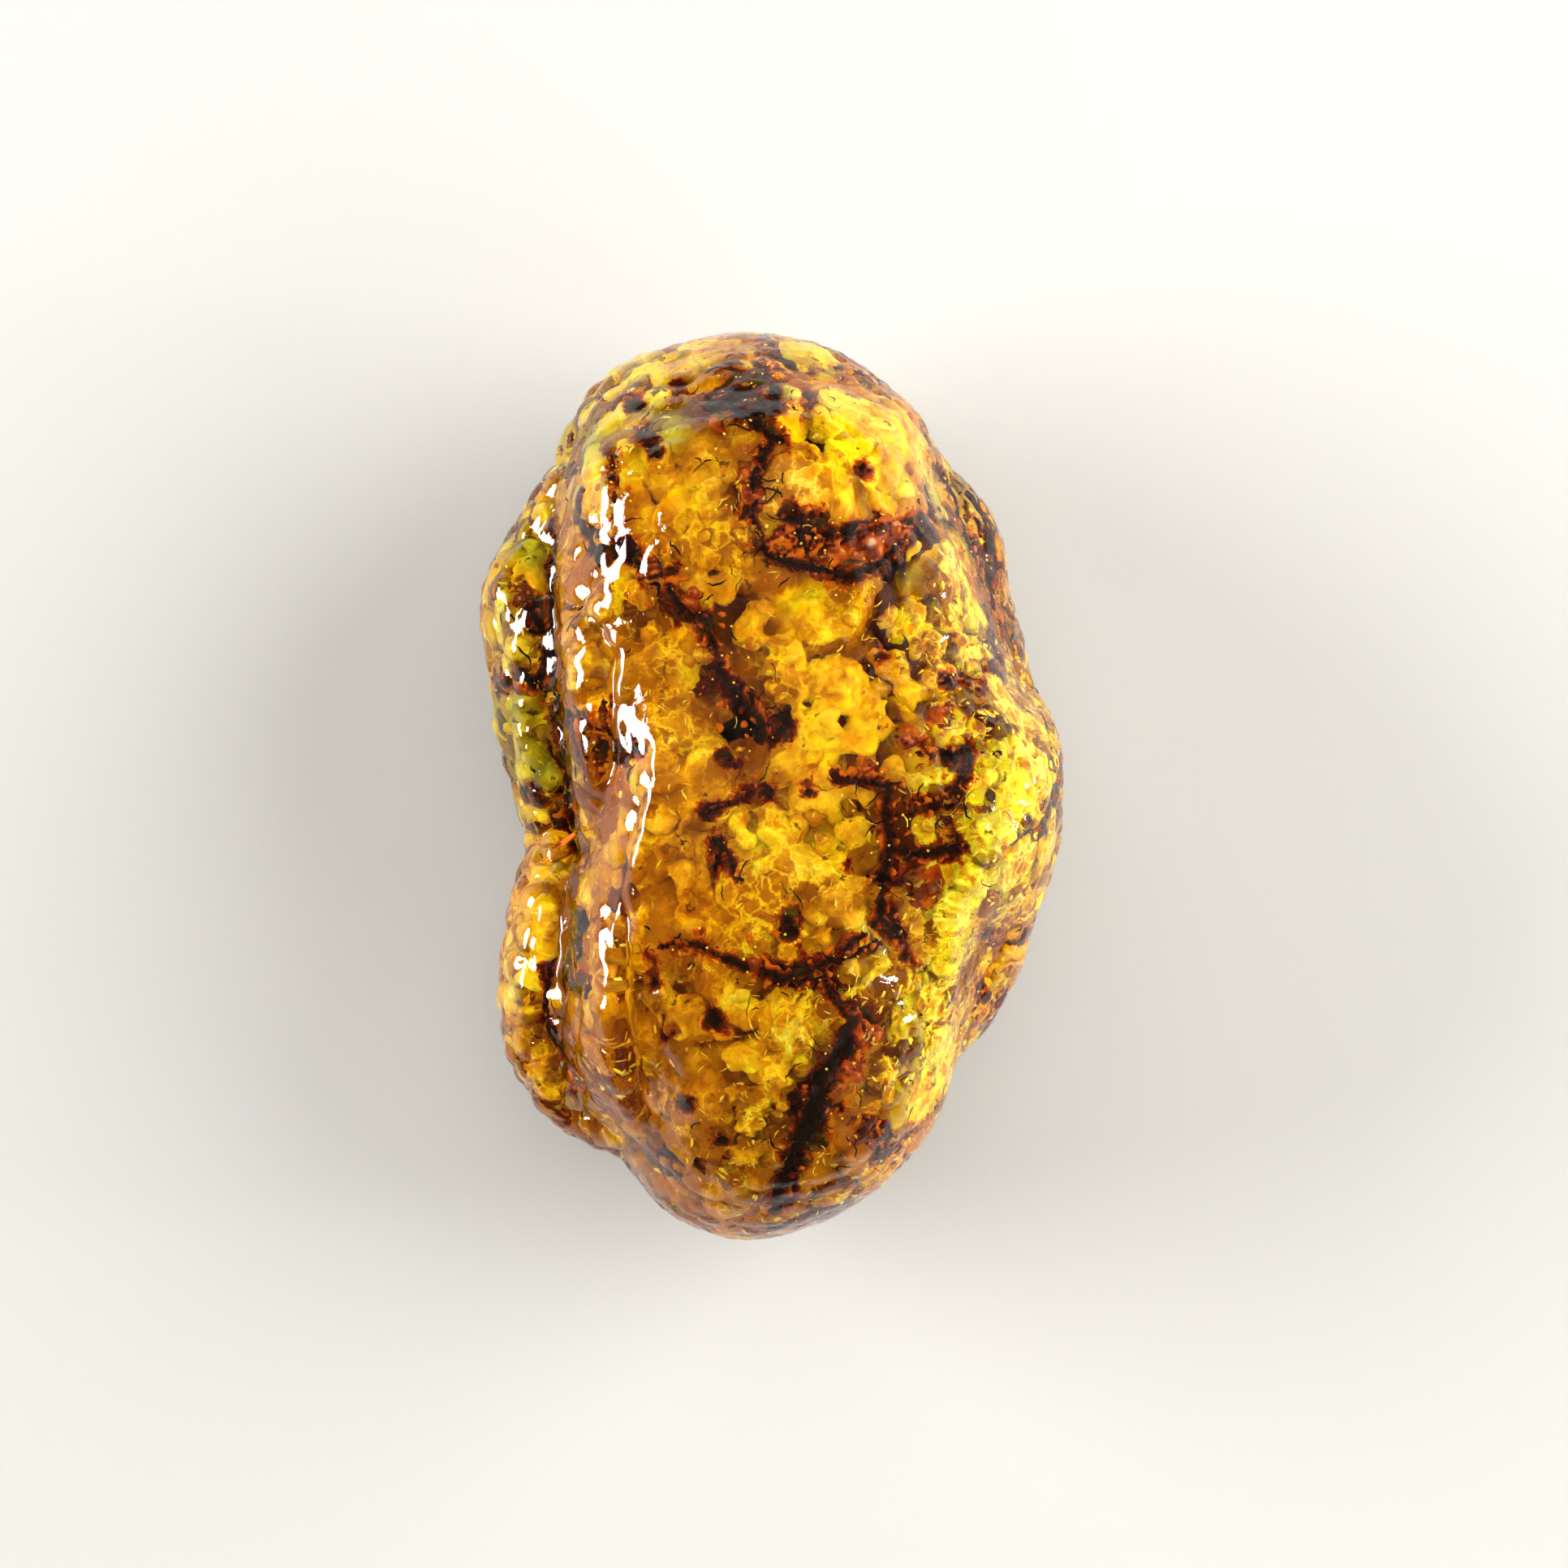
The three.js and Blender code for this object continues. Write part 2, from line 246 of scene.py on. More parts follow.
# Single dark crumbs: x, y, radius.
crumbs = [
    (-1.4, 16.0, 0.42), (-2.3, 16.4, 0.26), (-0.6, 15.3, 0.4), (1.0, -13.1, 0.36),
    (-2.3, -9.8, 0.44), (-2.0, -15.0, 0.34), (-4.8, -8.3, 0.26), (5.6, -7.2, 0.2),
    (3.8, 13.4, 0.24), (-5.8, 16.3, 0.34), (-5.2, 14.4, 0.3), (-4.9, 14.0, 0.26), (7.2, 13.7, 0.5),
    (-5.4, 1.5, 0.34), (-7.7, -8.8, 0.3), (0.6, 2.4, 0.2), (-0.2, -0.4, 0.26), (1.6, -0.3, 0.22),
    (3.3, -3.2, 0.16), (-6.6, 3.4, 0.2), (4.5, 5.4, 0.2), (2.1, 11.4, 0.2), (0.9, 11.2, 0.3),
    (-4.0, -10.5, 0.14), (-3.3, -13.4, 0.14), (9.0, 4.9, 0.16), (-10.4, 0.0, 0.2),
]


# Points along a line, this many millimetres apart, with the share of the way at each.
def stepsAlong(line, spacing):
    steps = []
    lengths = [math.dist(a, b) for a, b in zip(line, line[1:])]
    done = 0.0
    for (a, b), length in zip(zip(line, line[1:]), lengths):
        count = max(1, round(length / spacing))
        for i in range(count):
            t = i / count
            steps.append((a[0] + (b[0] - a[0]) * t, a[1] + (b[1] - a[1]) * t,
                          (done + t * length) / sum(lengths)))
        done += length
    steps.append((*line[-1], 1.0))
    return steps


# The half width of a seam at this share of its way.
def halfAt(seam, share):
    start, end = seam["half"]
    return start + (end - start) * share


seamSteps = []  # x, y and half width, all along the seams
for seam in seams:
    for x, y, share in stepsAlong(seam["line"], 0.25):
        seamSteps.append((x, y, halfAt(seam, share)))
seamSteps += crumbs
seamTree = treeOf([(x, y, 0) for x, y, _ in seamSteps])


# How far (x, y) is from the edge of the nearest seam, in millimetres.
def awayFromSeam(x, y):
    _, i, away = seamTree.find((x, y, 0))
    return away - seamSteps[i][2]


# Narrow folds that stand up on the skin, and creases that cut into it, with a height below 0.
folds = [
    {"line": [(-8.8, 13.4), (-8.4, 10.6), (-8.1, 6.8), (-7.9, 3.2), (-7.6, 0.0), (-7.8, -3.0),
              (-8.3, -5.6)], "half": 0.55, "height": 0.5},
    {"line": [(-4.5, 2.2), (-5.0, 0.2), (-5.6, -2.4), (-6.1, -4.4)], "half": 0.4, "height": 0.25},
    {"line": [(-11.5, 9.8), (-11.8, 7.6)], "half": 0.6, "height": 0.35},
    {"line": [(-6.3, -6.2), (-6.7, -8.6), (-6.6, -11.8), (-5.6, -15.0)], "half": 0.5, "height": 0.4},
    {"line": [(8.2, -3.6), (7.4, -6.0), (7.6, -9.0), (6.6, -12.4)], "half": 0.5, "height": 0.25},
    {"line": [(-8.5, 8.4), (-7.4, 6.9), (-6.7, 5.6), (-6.7, 3.3), (-6.8, 0.7), (-7.2, -1.5),
              (-7.6, -4.2)], "half": 0.24, "height": -0.35},
    {"line": [(-5.2, 1.6), (-5.0, 0.4), (-5.7, -1.9), (-6.3, -4.3), (-6.1, -6.0), (-5.9, -8.8),
              (-5.7, -10.8), (-5.3, -15.1)], "half": 0.24, "height": -0.35},
]

skinLook = {
    "cobble": 0.66, "cobbleHeight": 0.24,
    "bead": 1.1, "beadHeight": 0.34,  # larger beads take their place on the left
    "beadsEnd": (-7.0, -4.6),  # all beads left of the first x, none right of the second
    "wave": 2.2, "waveHeight": 0.10,
    "pit": 0.35, "pitHeight": 0.012,
    "patch": 4.5,  # the cobbles come and go over this length
    "calmSpots": [(-3.4, -3.0, 3.2), (-3.2, -9.5, 3.0), (-3.6, 3.0, 2.4), (-2.0, -14.5, 2.4)],
    "calm": 0.75,  # share of the cobbles that is missing there
    "calmFrom": 6, "foldsFrom": 4,  # heights above the floor
    "flatTo": 0.3,  # the resting patch stays flat up to this height
}


for fold in folds:
    fold["steps"] = stepsAlong(fold["line"], 0.2)  # x, y and share of the way
    fold["tree"] = treeOf([(x, y, 0) for x, y, _ in fold["steps"]])


# How far the folds lift the skin at (x, y). Each is tapered at its ends.
def foldAt(x, y):
    lift = 0.0
    for fold in folds:
        _, i, away = fold["tree"].find((x, y, 0))
        if away < 3 * fold["half"]:
            share = fold["steps"][i][2]
            taper = min(4 * share + 0.2, 4.2 - 4 * share, 1)
            lift += fold["height"] * taper * math.exp(-(away / fold["half"]) ** 2)
    return lift


# A cell pattern as domes: 1 at the middle of each cell, and less towards its edge. The tighter
# they are, the sooner they fall to 0.
def domes(p, size, tight):
    return 1 - min(noise.voronoi(p / size)[0][0] * tight, 1) ** 2


def skinRelief(v):
    look = skinLook
    p = v.co / mm
    calm = within(look["calmSpots"], p.x, p.y) if p.z > look["calmFrom"] else 0
    rough = 1 - look["calm"] * min(calm, 1)
    left = 1 - smoothStep(*look["beadsEnd"], p.x)
    patchy = 0.55 + 0.45 * noise.noise(p / look["patch"] + Vector((5, 1, 9)))
    out = look["cobbleHeight"] * domes(p, look["cobble"], 1.3) * rough * patchy * (1 - left)
    out += look["beadHeight"] * domes(p, look["bead"], 1.2) * left
    out += look["waveHeight"] * noise.noise(p / look["wave"])
    out += look["pitHeight"] * noise.noise(p / look["pit"]) * rough * (1 - left)
    if p.z > look["foldsFrom"]:
        out += foldAt(p.x, p.y)
    return out if p.z > look["flatTo"] else min(out, 0)


# The CAD solid made fine and pebbled.
def makeSkin():
    bm = bmesh.new()
    bm.from_mesh(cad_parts[node].data)
    bmesh.ops.remove_doubles(bm, verts=bm.verts, dist=0.002 * mm)
    for _ in range(2):
        bmesh.ops.subdivide_edges(bm, edges=bm.edges, cuts=1, use_grid_fill=True)
        for _ in range(3):
            bmesh.ops.smooth_vert(bm, verts=bm.verts, factor=0.5, use_axis_x=True, use_axis_y=True,
                                  use_axis_z=True)
    pushOut(bm, skinRelief)
    for v in bm.verts:
        v.co.z = max(v.co.z, 0)
    return bm


# Amber, tumbled by the sea and left unpolished: clear yellow resin of IOR 1.54. Its skin is
# glossy but finely pitted, and its depth turns light from lemon through orange to brown.
def clearResin():
    material = newMaterial("amberClearSeaTumbled")
    tree = material.node_tree
    place = addNode(tree, "ShaderNodeTexCoord").outputs["Object"]
    pits = addNode(tree, "ShaderNodeTexNoise", {"Scale": repeatsOf(0.35), "Detail": 2.0},
                   {"Vector": place})
    bump = addNode(tree, "ShaderNodeBump", {"Strength": 0.35, "Distance": 0.06 * mm},
                   {"Height": pits.outputs["Fac"]})
    surface = addNode(tree, "ShaderNodeBsdfPrincipled",
                      {"Base Color": linear("#fffdf4"), "Transmission Weight": 1.0, "IOR": 1.54,
                       "Roughness": 0.06}, {"Normal": bump.outputs["Normal"]})
    depth = addNode(tree, "ShaderNodeVolumeAbsorption",
                    {"Color": (0.998, 0.966, 0.0, 1.0), "Density": 1500.0})
    addNode(tree, "ShaderNodeOutputMaterial", None,
            {"Surface": surface.outputs["BSDF"], "Volume": depth.outputs["Volume"]})
    return material


skinBm = makeSkin()
skinTree = BVHTree.FromBMesh(skinBm)
skin = settle(fromBmesh(skinBm, "amberSkin", clearResin()))
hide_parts(node)
print("skin made:", len(skin.data.polygons), "faces")


# The point this many millimetres under the skin at (x, y), or None beside the stone.
def under(x, y, down=0):
    top = skinTree.ray_cast(Vector((x, y, 100)) * mm, Vector((0, 0, -1)))[0]
    return top and top - Vector((0, 0, down * mm))


# How far inside the skin a point is, and the nearest point and normal of the skin.
def depthOf(point):
    near, normal, _, _ = skinTree.find_nearest(point)
    return (near - point).dot(normal), near, normal


# Pushes every vertex of a lump that is too near the skin back in.
def keepInside(bm, leastDepth):
    for v in bm.verts:
        depth, near, normal = depthOf(v.co)
        least = leastDepth(v.co / mm) * mm
        if depth < least:
            v.co = near - normal * least


# Milky clots near the skin: x, y, radius, depth under the skin, and paleness from 0 to 1.
clots = [
    (-5.4, 11.4, 2.1, 0.7, 0.6), (-6.1, 15.3, 1.7, 0.6, 0.9), (-3.9, 17.6, 1.3, 0.6, 0.8),
    (-7.4, 13.6, 1.1, 0.6, 0.9), (-2.4, 18.6, 1.1, 0.8, 0.6), (-4.2, 13.3, 1.2, 0.7, 0.65),
    (-2.6, 13.8, 1.1, 0.6, 0.75), (-2.6, 11.9, 1.0, 0.6, 0.65), (-7.9, 16.0, 0.9, 0.6, 0.8),
    (1.5, 18.6, 1.5, 0.5, 1.0), (1.1, 16.6, 0.8, 0.4, 1.0), (3.6, 15.4, 2.2, 0.6, 0.9),
    (6.0, 14.6, 1.5, 0.7, 0.8), (1.5, 13.0, 1.7, 0.6, 0.7), (4.2, 12.6, 1.8, 0.6, 0.7),
    (6.9, 12.2, 1.2, 0.6, 0.9), (0.6, 12.0, 1.0, 0.6, 0.55), (7.6, 9.7, 1.2, 0.6, 0.9),
    (8.3, 7.6, 1.0, 0.7, 0.9), (6.4, 8.6, 1.3, 1.2, 0.5), (-4.9, 9.6, 1.1, 0.8, 0.45),
    (-2.7, 9.9, 1.2, 0.9, 0.5), (-1.6, 8.4, 1.0, 0.8, 0.5), (-3.0, 8.4, 0.8, 0.9, 0.4),
    (1.6, 6.9, 1.5, 0.5, 0.8), (3.0, 7.0, 0.9, 0.6, 0.75), (-0.5, 6.7, 1.0, 0.6, 0.55),
    (0.4, 5.6, 1.0, 0.7, 0.55), (2.6, 4.6, 1.3, 0.6, 0.65), (1.0, 4.0, 1.0, 0.6, 0.6),
    (1.9, 2.3, 1.3, 0.5, 0.8), (4.1, 2.7, 1.2, 0.6, 0.75), (3.6, 1.4, 0.9, 0.5, 0.75),
    (0.6, 0.6, 1.1, 0.6, 0.65), (5.6, 3.6, 0.9, 0.8, 0.6), (2.4, -0.6, 1.4, 0.5, 0.8),
    (0.5, -1.6, 1.4, 0.6, 0.65), (3.7, -1.6, 1.0, 0.5, 0.8), (2.2, -3.2, 1.6, 0.5, 0.75),
    (0.3, -3.6, 1.2, 0.6, 0.6), (3.4, -4.3, 0.9, 0.5, 0.8), (6.1, -0.1, 0.7, 0.5, 0.9),
    (7.1, 0.3, 0.6, 0.5, 0.9), (6.2, -1.7, 0.8, 0.6, 0.7), (6.3, -3.7, 0.7, 0.7, 0.6),
    (-0.6, -5.6, 1.2, 0.7, 0.45), (2.0, -5.2, 1.0, 0.7, 0.55), (0.9, -6.9, 0.8, 0.6, 0.65),
    (-2.6, -5.2, 1.6, 0.8, 0.5), (-4.0, -3.0, 1.9, 0.9, 0.45), (-3.6, 0.0, 1.8, 0.8, 0.5),
    (-3.9, 2.8, 1.7, 0.8, 0.55), (-4.0, 5.6, 1.6, 0.9, 0.5), (-4.2, -8.4, 1.3, 0.8, 0.4),
    (-3.1, -9.6, 1.3, 0.9, 0.5), (-3.5, -12.0, 1.9, 1.1, 0.4), (-3.1, -14.6, 1.5, 1.2, 0.35),
    (-1.2, -9.4, 1.2, 0.6, 0.55), (0.8, -9.7, 1.5, 0.5, 0.75), (-0.6, -11.6, 1.4, 0.6, 0.6),
    (-0.9, -13.6, 1.2, 0.7, 0.45), (0.6, -12.9, 0.8, 0.6, 0.55), (-0.9, -15.4, 1.0, 0.9, 0.5),
    (3.2, -15.6, 1.1, 1.0, 0.25), (-9.9, 1.1, 1.0, 0.5, 0.6), (-10.4, 3.0, 0.8, 0.6, 0.6),
    (-11.3, 5.4, 0.8, 0.6, 0.8), (-10.7, 9.2, 1.0, 0.7, 0.5), (-11.0, -7.4, 1.1, 0.6, 0.8),
    (-10.6, -10.4, 1.2, 0.8, 0.5), (-7.3, 7.6, 0.7, 0.6, 0.5), (-8.0, -4.6, 0.8, 0.6, 0.7),
    (-7.9, 2.9, 0.7, 0.6, 0.5), (9.9, -5.0, 1.0, 0.9, 0.6), (9.6, -8.9, 0.9, 0.8, 0.6),
    (9.6, 2.9, 1.8, 0.4, 0.8), (10.3, 0.4, 1.7, 0.3, 0.95), (9.2, -1.4, 1.6, 0.3, 0.95),
    (10.2, -3.2, 1.5, 0.3, 0.9), (8.2, -4.6, 1.5, 0.3, 0.95), (7.4, -7.4, 1.6, 0.4, 0.8),
    (6.0, -9.6, 1.5, 0.4, 0.75), (6.6, -11.6, 1.4, 0.4, 0.75), (4.6, -12.6, 1.0, 0.6, 0.5),
    (-11.3, 10.4, 0.9, 0.4, 0.9), (-11.6, 7.9, 0.8, 0.4, 0.95), (-11.5, 6.6, 0.7, 0.4, 0.9),
    (-11.1, 2.0, 0.9, 0.4, 0.9), (-10.9, 0.2, 0.8, 0.4, 0.8), (-11.2, -9.0, 0.9, 0.4, 0.9),
    (-8.3, 12.2, 0.7, 0.4, 0.6), (-8.5, 8.8, 0.6, 0.4, 0.55), (-8.2, 6.6, 0.7, 0.4, 0.5),
    (-8.3, 4.2, 0.6, 0.4, 0.6), (-8.1, 0.9, 0.7, 0.4, 0.5), (-8.0, -1.4, 0.6, 0.4, 0.6),
    (-7.9, -3.2, 0.7, 0.4, 0.6), (-7.2, -7.4, 0.7, 0.4, 0.5), (-7.4, -9.9, 0.7, 0.4, 0.5),
    (0.5, -18.2, 1.3, 0.6, 0.4), (-2.6, -16.9, 1.2, 0.6, 0.35), (2.9, -17.4, 1.0, 0.6, 0.35),
    (-5.4, -14.4, 1.0, 0.6, 0.4), (5.6, -15.0, 1.0, 0.5, 0.75), (-9.7, -12.4, 0.9, 0.5, 0.5),
    (-11.2, -5.6, 0.8, 0.4, 0.7), (7.6, -13.0, 0.9, 0.4, 0.8), (10.9, 7.4, 0.8, 0.5, 0.5),
    (3.9, -16.8, 0.8, 0.5, 0.65), (2.9, 3.5, 1.0, 0.6, 0.7), (-6.5, 17.0, 0.9, 0.4, 1.0),
    (-5.1, 18.0, 0.9, 0.4, 1.0), (-3.3, 19.0, 0.8, 0.4, 0.95), (-7.7, 15.0, 0.8, 0.4, 0.95),
    (-4.7, 16.6, 0.8, 0.4, 1.0),
    (8.2, 5.6, 1.3, 0.5, 0.7), (7.8, 1.6, 1.0, 0.5, 0.7), (7.0, -5.6, 1.0, 0.5, 0.7),
    (6.0, 6.4, 1.3, 0.7, 0.55), (6.9, 4.3, 1.1, 0.6, 0.6), (5.0, 5.2, 1.0, 0.7, 0.6),
    (7.4, 7.3, 1.0, 0.7, 0.6), (-7.8, 5.4, 0.9, 0.6, 0.6), (-8.0, 10.4, 0.9, 0.6, 0.6),
    (2.8, 2.6, 0.6, 0.6, 0.75), (-4.6, -1.4, 0.8, 0.5, 0.6), (-3.3, -3.9, 0.9, 0.5, 0.6),
    (-4.4, 1.6, 0.7, 0.5, 0.6),
]

# Where the resin stays clear near the skin: x, y, radius, and how deep it is clear.
clearSpots = [
    (9.6, 2.8, 2.6, 0.1), (9.6, -1.6, 2.8, 0.1), (7.4, -6.4, 2.0, 0.2), (6.2, -9.8, 2.4, 0.2),
    (5.6, -13.0, 2.2, 0.4), (1.0, -18.6, 3.2, 0.7), (-2.6, -17.4, 2.4, 0.6), (7.6, 5.4, 1.8, 0.2),
    (-6.4, -11.8, 1.2, 1.4), (4.8, 18.2, 1.6, 2.0), (10.4, 8.6, 1.6, 1.4), (10.2, -9.4, 1.2, 1.0),
    (-2.8, 1.4, 1.6, 0.3), (-3.2, -11.4, 2.0, 0.4), (-2.4, 7.6, 0.8, 0.7),
]

# Where the clots are a foam of small cells: x, y, radius.
foamSpots = [
    (9.6, 1.6, 2.8), (9.8, -2.0, 2.8), (8.4, -5.2, 2.2), (6.8, -8.6, 2.4), (5.8, -11.6, 2.2),
    (8.2, 5.4, 1.8), (6.0, 6.2, 1.6), (2.2, -9.6, 1.4), (-6.4, -12.2, 1.1), (-0.6, -13.8, 1.2),
    (7.6, 9.4, 1.4),
]

# Clots that are tinged green, as by clay: x, y, radius.
greenSpots = [
    (-4.2, 15.0, 0.8), (-9.9, 1.0, 1.5), (-11.2, 3.4, 1.0), (-10.4, 10.2, 1.2), (7.2, 12.4, 1.0),
    (5.4, 8.9, 0.8), (-7.6, 14.8, 1.2),
]

clotLook = {
    "seed": 11, "voxel": 0.15, "lumps": 6,
    "roof": 0.32,  # the least resin above a clot
    "groove": 0.9, "grooveFrom": 5,  # how deep the grooves for the seams are, and from what height
}
smallClotLook = {
    "seed": 13, "voxel": 0.16, "count": 900, "depth": (0.45, 1.6), "radius": (0.25, 0.75),
    "lowest": 2.5,  # height above the floor
}
cloudLook = {"seed": 12, "voxel": 0.3, "count": 330, "depth": (1.9, 5.4), "radius": (1.2, 2.6)}
grainLook = {
    "grain": 0.62, "fine": 0.22, "soft": 1.2, "patch": 2.4,  # sizes of the curds
    "foamCell": 0.72, "height": 0.2,
    "foamFrom": 4,  # height above the floor
}


lumpLook = {
    "swell": 0.4, "swells": 1.3, "ripple": 0.16, "ripples": 3.1,  # how much, and how many
    "height": 0.75,  # flattened to this share
}


# A lump of uneven shape, flattened across and from above. Detail is its icosphere's.
def addLump(bm, centre, radius, across, turn, detail, rng):
    look = lumpLook
    shift = anywhere(rng)
    lump = bmesh.new()
    bmesh.ops.create_icosphere(lump, subdivisions=detail, radius=1.0)
    spin = Matrix.Rotation(math.radians(turn), 3, "Z")
    for v in lump.verts:
        out = 1 + look["swell"] * noise.noise(v.co * look["swells"] + shift)
        out += look["ripple"] * noise.noise(v.co * look["ripples"] + shift)
        p = Vector((v.co.x, v.co.y * across, v.co.z * look["height"])) * out * radius
        v.co = centre + spin @ p * mm
    join(bm, lump)


clotSeats = []  # centre, radius and paleness of every clot, for the colouring


# Large clots from the list, each a cluster of lumps.
def makeClots():
    look = clotLook
    rng = random.Random(look["seed"])
    bm = bmesh.new()
    for x, y, radius, depth, pale in clots:
        centre = under(x, y, depth + radius * 0.7)
        clotSeats.append((centre, radius, pale))
        for _ in range(look["lumps"]):
            angle = rng.uniform(0, 2 * math.pi)
            reach = radius * rng.uniform(0.2, 0.7)
            side = Vector((math.cos(angle) * reach, math.sin(angle) * reach, rng.uniform(-0.4, 0.2)))
            addLump(bm, centre + side * mm, radius * rng.uniform(0.4, 0.7), rng.uniform(0.6, 1.0),
                    rng.uniform(0, 180), 2, rng)
    return grained(fused(bm, look["voxel"]))


# Small ones strewn under the skin between them.
def makeSmallClots():
    look = smallClotLook
    rng = random.Random(look["seed"])
    bm = bmesh.new()
    nearest = treeOf([(x, y, 0) for x, y, _, _, _ in clots])
    made = 0
    while made < look["count"]:
        spot = rng.choice(skin.data.vertices)
        x, y, z = spot.co / mm
        if z < look["lowest"] or awayFromSeam(x, y) < 0.2:
            continue
        radius = rng.uniform(*look["radius"])
        down = rng.uniform(*look["depth"]) + radius * 0.7 + 0.6 * within(clearSpots, x, y)
        centre = spot.co - spot.normal * down * mm
        _, i, _ = nearest.find((x, y, 0))
        clotSeats.append((centre, radius, clots[i][4] + rng.uniform(-0.25, 0.15)))
        addLump(bm, centre, radius, rng.uniform(0.5, 1.0), rng.uniform(0, 180), 2, rng)
        made += 1
    return grained(fused(bm, look["voxel"]))


# The larger, deeper clouds behind them, all through the stone.
def makeCloud():
    look = cloudLook
    rng = random.Random(look["seed"])
    bm = bmesh.new()
    low, high = (Vector(corner) for corner in cadBounds)
    least, most = look["depth"]
    made = 0
    while made < look["count"]:
        point = Vector([rng.uniform(low[i], high[i]) for i in range(3)])
        if not least * mm < depthOf(point)[0] < most * mm:
            continue
        radius = rng.uniform(*look["radius"])
        clotSeats.append((point, radius, rng.uniform(0.1, 0.6)))
        addLump(bm, point, radius, rng.uniform(0.5, 1.0), rng.uniform(0, 180), 2, rng)
        made += 1
    return grained(fused(bm, look["voxel"]))


# How high the curds stand at a point, used as painted light and shade (paler tops, darker pits and
# foam cells), and how far they push the surface out.
def curds(p):
    look = grainLook
    near = noise.voronoi(p / look["grain"])[0]
    crumb = min((near[1] - near[0]) * 1.4, 1)  # 0 at the edge of a curd, 1 well inside it
    fine = noise.noise(p / look["fine"])
    soft = noise.noise(p / look["soft"])
    # Some patches are more curdled than others.
    curdled = 0.3 + 0.7 * smoothStep(-0.15, 0.4, noise.noise(p / look["patch"] + Vector((3, 7, 2))))
    # Painted light and shade: paler where the curds stand up, darker in their pits and at their edges.
    curdPaintedShade = 0.5 * crumb * curdled + 0.6 * soft + 0.3 * fine
    out = (crumb - 0.6) * curdled + 1.2 * soft + 0.25 * fine
    foam = min(within(foamSpots, p.x, p.y), 1) if p.z > look["foamFrom"] else 0
    if foam > 0.05:
        cell = noise.voronoi(p / look["foamCell"] + Vector((soft, fine, soft)) * 0.25)[0]
        wall = 1 - min((cell[1] - cell[0]) * 3.2, 1)  # 1 on the walls of the foam, 0 in its cells
        # The foam walls are painted paler and its cells darker: painted light and shade.
        curdPaintedShade += foam * (1.1 * wall - 0.35 - curdPaintedShade)
        out += foam * (1.5 * wall - 0.7 - out)
    return curdPaintedShade, out


# Gives fused lumps their curdled or foamy grain, and keeps its height for the painted light and shade
# in the colouring.
def grained(whole):
    lift = whole.verts.layers.float.new("lift")

    def grainAt(v):
        # lift keeps the curd height, which the colouring turns into painted light and shade.
        v[lift], out = curds(v.co / mm)
        return out * grainLook["height"]

    pushOut(whole, grainAt)
    keepInside(whole, clotRoof)
    return whole


# The least resin above a clot. It is more at clear spots, and the seams lie in grooves.
def clotRoof(p):
    if p.z < clotLook["grooveFrom"]:
        return clotLook["roof"]
    groove = clotLook["groove"] * (1 - smoothStep(-0.1, 0.35, awayFromSeam(p.x, p.y)))
    return clotLook["roof"] + within(clearSpots, p.x, p.y) + groove


# Writes how pale, rust-stained, green and crackled each point of a clot is. The crackle sets how
# strongly the panes and their painted crack glints show.
def paintClots(piece):
    seats = treeOf([centre for centre, _, _ in clotSeats])
    paint = {"pale": [], "stain": [], "green": [], "crackle": []}
    for v in piece.data.vertices:
        p = v.co / mm
        total = weight = 0.0
        for _, seat, away in seats.find_n(v.co, 4):
            share = math.exp(-(away / mm / clotSeats[seat][1]) ** 2) + 1e-4
            total += share * clotSeats[seat][2]
            weight += share
        paint["pale"].append(total / weight)
        # The stain has a wavy edge.
        away = awayFromSeam(p.x, p.y) + 0.4 * noise.noise(p / 0.7) + 0.6 * noise.noise(p / 2.1)
        paint["stain"].append(smoothStep(3, 7, p.z) * (1 - smoothStep(-0.3, 0.7, away)))
        paint["green"].append(min(within(greenSpots, p.x, p.y), 1))
        foam = min(within(foamSpots, p.x, p.y), 1)
        paint["crackle"].append(max(foam, 0.25 + 0.9 * noise.noise(p / 3.1 + Vector((8, 2, 4)))))
    for name, values in paint.items():
        piece.data.attributes.new(name, "FLOAT", "POINT").data.foreach_set("value", values)
